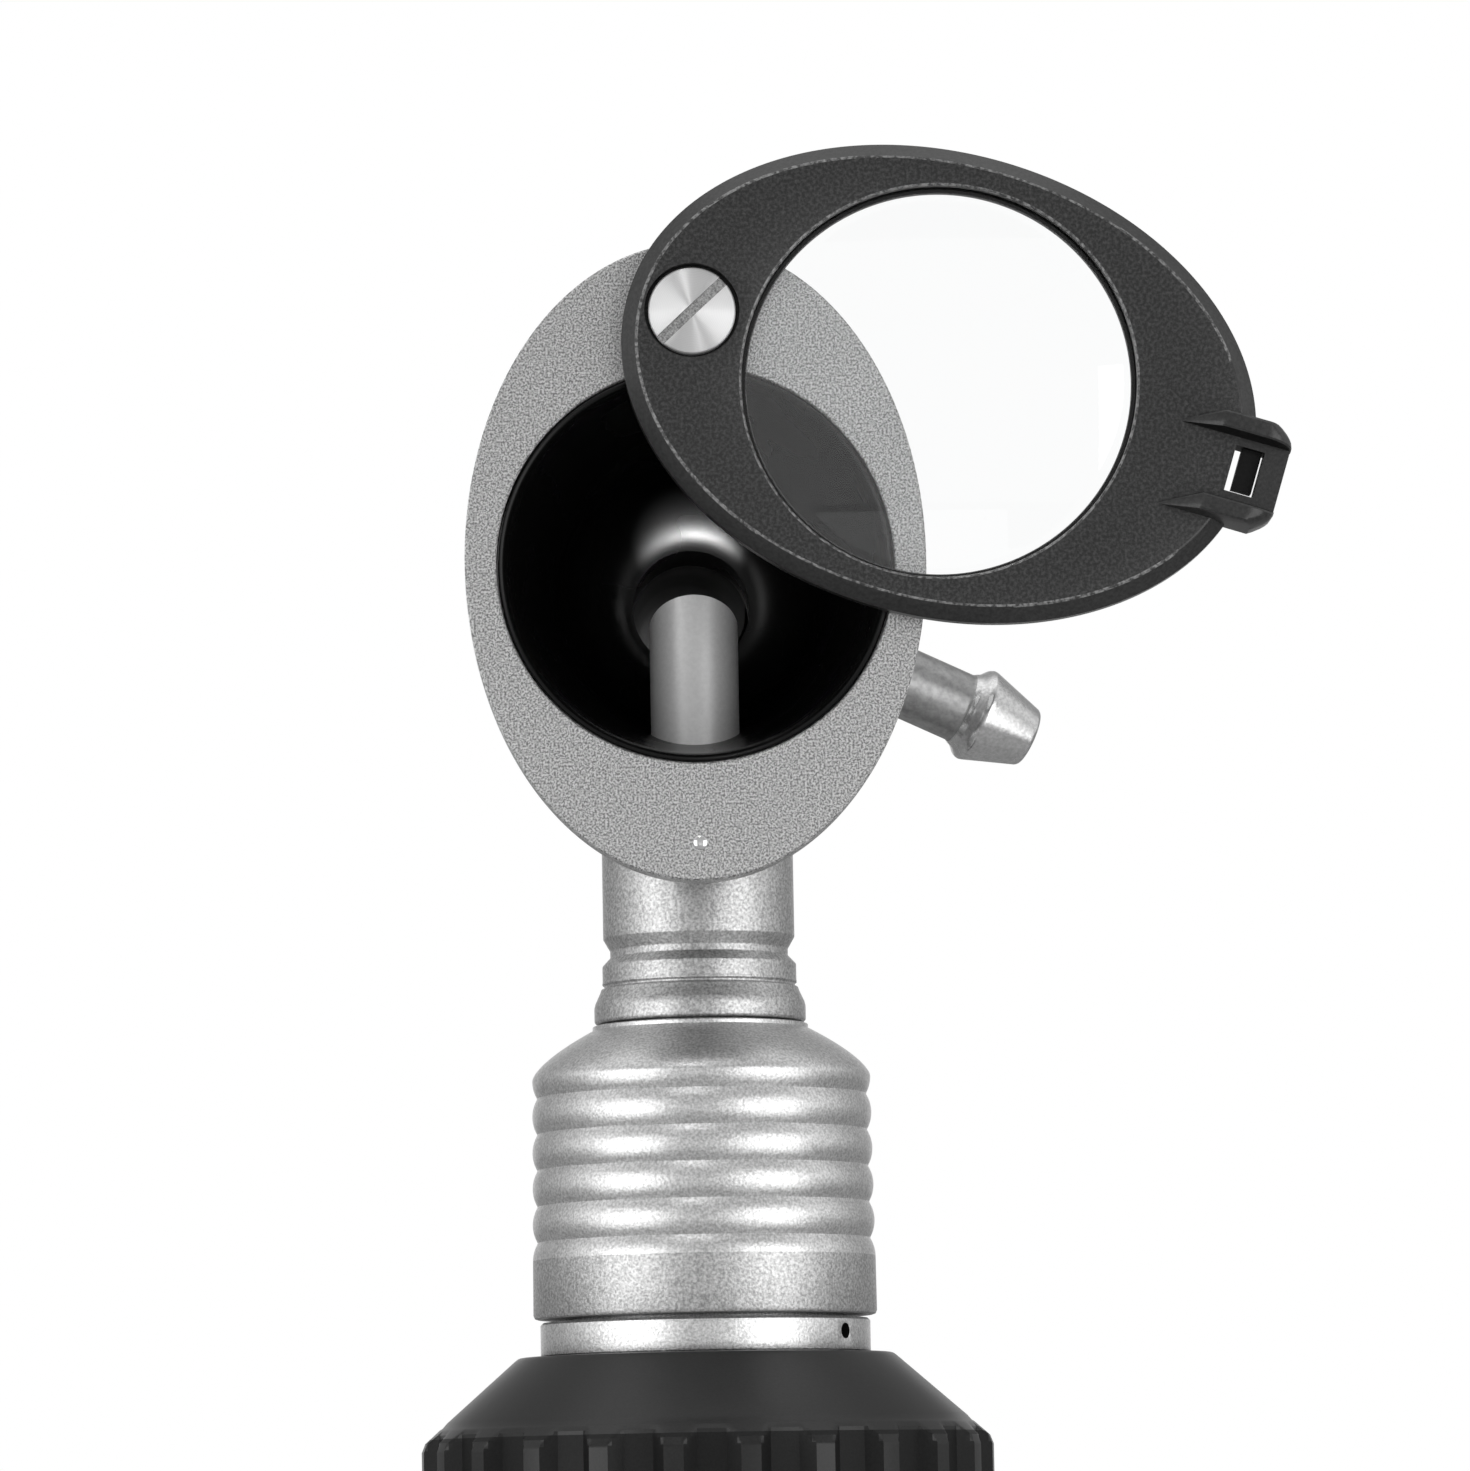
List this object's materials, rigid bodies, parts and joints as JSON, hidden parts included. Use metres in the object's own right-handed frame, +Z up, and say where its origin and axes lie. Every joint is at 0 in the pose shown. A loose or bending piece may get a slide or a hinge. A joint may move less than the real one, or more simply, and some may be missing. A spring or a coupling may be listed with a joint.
{
  "type": "otoscope",
  "caption": "Hand otoscope: battery handle with brightness ring, screwed-on head, swing-out magnifying window, lamp tube, air port and ear speculum.",
  "frame": {"origin": "centre of the end cap's flat base, which the handle stands on", "axes": "+Z up the handle's axis; the rear plate and window face -Y and the ear speculum points to +Y; the swung-open window and the air port are on the +X side"},
  "size_m": [0.0508, 0.066, 0.2138],
  "materials": {
    "plate_metal": "fine blasted satin",
    "turned_metal": "satin anodised",
    "casting_metal": "satin anodised",
    "lamp_tube_steel": "satin",
    "screw_metal": "turned and polished",
    "spring_steel": "plain wire and strip",
    "brass": "plain",
    "frame_plastic": "fine moulded texture",
    "gloss_black": "gloss",
    "speculum_plastic": "soft gloss",
    "seat_plastic": "satin",
    "ring_plastic": "matt, moulded",
    "barrel_black": "black satin coat",
    "lens_glass": "polished clear",
    "bulb_glass": "clear",
    "insulation": "plain",
    "sleeve_card": "plain",
    "cell_jacket": "printed jacket, bare",
    "seal_rubber": "matt"
  },
  "bodies": {
    "handle": {"barrel": "barrel_black", "insulating_sleeve": "sleeve_card", "battery_upper": "cell_jacket", "battery_lower": "cell_jacket", "battery_contact": "brass", "coupling_spigot": "turned_metal", "plunger_guide": "insulation", "plunger_spring": "spring_steel", "resistor_former": "insulation", "resistance_winding": "spring_steel", "friction_washer": "spring_steel"},
    "plunger": {"contact_plunger": "brass"},
    "ring": {"brightness_ring": "ring_plastic", "wiper_arm": "brass"},
    "head": {"rear_plate": "plate_metal", "snap_pip": "screw_metal", "head_casting": "casting_metal", "funnel_liner": "gloss_black", "speculum_seat": "seat_plastic", "neck": "turned_metal", "collar_clip": "spring_steel", "lamp_tube": "lamp_tube_steel", "lamp_bulb": "bulb_glass", "lamp_base": "brass", "lamp_insulator": "insulation", "contact_rod": "brass", "insufflation_port": "turned_metal", "pivot_screw": "screw_metal", "spring_washer": "spring_steel"},
    "collar": {"coupling_collar": "turned_metal"},
    "window": {"lens_frame": "frame_plastic", "lens": "lens_glass", "lens_ring": "frame_plastic"},
    "speculum": {"ear_speculum": "speculum_plastic"},
    "cap_carrier": {"cap_seal_ring": "seal_rubber", "battery_spring": "spring_steel"},
    "cap": {"end_cap": "turned_metal"}
  },
  "joints": [
    {"name": "plunger_press", "type": "slide", "parent": "handle", "child": "plunger", "axis": [0, 0, 1], "range_m": [-0.0008, 0], "stiffness_N_per_m": 300, "springref_m": 0.0005, "deforming": ["plunger_spring"]},
    {"name": "brightness_turn", "type": "hinge", "parent": "handle", "child": "ring", "pos_m": [0, 0, 0.136], "axis": [0, 0, 1], "range_deg": [0, 240]},
    {"name": "head_travel", "type": "slide", "parent": "handle", "child": "head", "axis": [0, 0, 1], "range_m": [0, 0.003]},
    {"name": "collar_turn", "type": "hinge", "parent": "head", "child": "collar", "pos_m": [0, 0, 0.155], "axis": [0, 0, 1], "range_deg": [0, 750]},
    {"name": "window_swivel", "type": "hinge", "parent": "head", "child": "window", "pos_m": [0, -0.0123, 0.20412], "axis": [0, 1, 0], "range_deg": [-106.9, 73.1]},
    {"name": "speculum_pull", "type": "slide", "parent": "head", "child": "speculum", "axis": [0, 0.9993, 0.0384], "range_m": [0, 0.012]},
    {"name": "cap_travel", "type": "slide", "parent": "handle", "child": "cap_carrier", "axis": [0, 0, -1], "range_m": [0, 0.006]},
    {"name": "cap_turn", "type": "hinge", "parent": "cap_carrier", "child": "cap", "pos_m": [0, 0, 0.007], "axis": [0, 0, -1], "range_deg": [0, 1080]}
  ],
  "couplings": [
    {"joint": "collar_turn", "follows": "head_travel", "rad_per_m": 4188.8},
    {"joint": "cap_travel", "follows": "cap_turn", "m_per_rad": 0.00031831}
  ]
}
